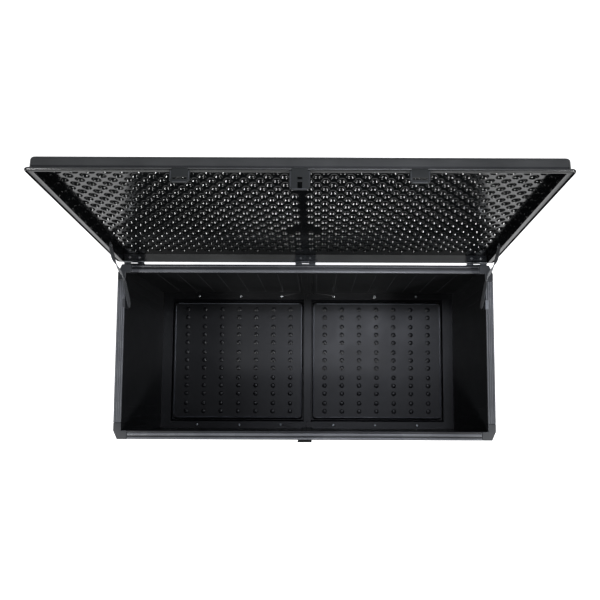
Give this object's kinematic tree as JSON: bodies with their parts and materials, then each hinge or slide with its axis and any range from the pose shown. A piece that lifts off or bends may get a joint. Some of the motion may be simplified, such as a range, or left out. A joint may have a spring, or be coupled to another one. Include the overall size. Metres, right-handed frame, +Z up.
{
  "type": "deck storage box",
  "caption": "Long outdoor storage box of resin panels with a hinged double-skin lid, top rails, lid straps and a padlock latch.",
  "frame": {"origin": "centre of the box's footprint, on the ground plane that it stands on", "axes": "+Z up, +X to the right of a person who faces the front, +Y towards the rear wall that carries the hinges"},
  "size_m": [1.186, 0.6602, 1.0503],
  "materials": {
    "wall_resin": "moulded, fine satin texture",
    "floor_resin": "moulded, satin",
    "lid_resin": "blow-moulded, fine texture",
    "rail_resin": "extruded, lengthwise lines",
    "latch_resin": "moulded, satin",
    "dark_steel": "dark coated steel, satin",
    "webbing": "flat woven band"
  },
  "bodies": {
    "base": {"base_centre_joiner": "floor_resin", "base_panel_left": "floor_resin", "base_panel_right": "floor_resin", "centre_hinge_box_leaf": "dark_steel", "centre_hinge_pin": "dark_steel", "front_left_corner_cap": "rail_resin", "front_right_corner_cap": "rail_resin", "front_top_rail": "rail_resin", "front_wall_centre_post": "wall_resin", "front_wall_left": "wall_resin", "front_wall_right": "wall_resin", "hinge_box_screw_1": "dark_steel", "hinge_box_screw_2": "dark_steel", "hinge_box_screw_3": "dark_steel", "hinge_box_screw_4": "dark_steel", "hinge_box_screw_5": "dark_steel", "hinge_box_screw_6": "dark_steel", "keeper_screw_1": "dark_steel", "keeper_screw_2": "dark_steel", "latch_keeper": "latch_resin", "left_hinge_box_leaf": "dark_steel", "left_hinge_pin": "dark_steel", "left_lid_strap": "webbing", "left_side_wall": "wall_resin", "left_strap_bracket": "dark_steel", "left_strap_rail_screw": "dark_steel", "left_top_rail": "rail_resin", "rear_left_corner_cap": "rail_resin", "rear_right_corner_cap": "rail_resin", "rear_top_rail": "rail_resin", "rear_wall_centre_post": "wall_resin", "rear_wall_left": "wall_resin", "rear_wall_right": "wall_resin", "right_hinge_box_leaf": "dark_steel", "right_hinge_pin": "dark_steel", "right_lid_strap": "webbing", "right_side_wall": "wall_resin", "right_strap_bracket": "dark_steel", "right_strap_rail_screw": "dark_steel", "right_top_rail": "rail_resin"},
    "lid": {"centre_hinge_lid_leaf": "dark_steel", "hinge_lid_screw_1": "dark_steel", "hinge_lid_screw_2": "dark_steel", "hinge_lid_screw_3": "dark_steel", "hinge_lid_screw_4": "dark_steel", "hinge_lid_screw_5": "dark_steel", "hinge_lid_screw_6": "dark_steel", "left_hinge_lid_leaf": "dark_steel", "left_strap_lid_screw": "dark_steel", "lid_guide_tab_left": "latch_resin", "lid_guide_tab_right": "latch_resin", "lid_inner_panel": "lid_resin", "lid_latch_plate": "latch_resin", "lid_outer_shell": "lid_resin", "right_hinge_lid_leaf": "dark_steel", "right_strap_lid_screw": "dark_steel"}
  },
  "joints": [
    {"name": "lid_hinge", "type": "hinge", "parent": "base", "child": "lid", "pos_m": [0, 0.2815, 0.491], "axis": [1, 0, 0], "range_deg": [0, 96.3], "deforming": ["left_lid_strap", "right_lid_strap"]}
  ]
}
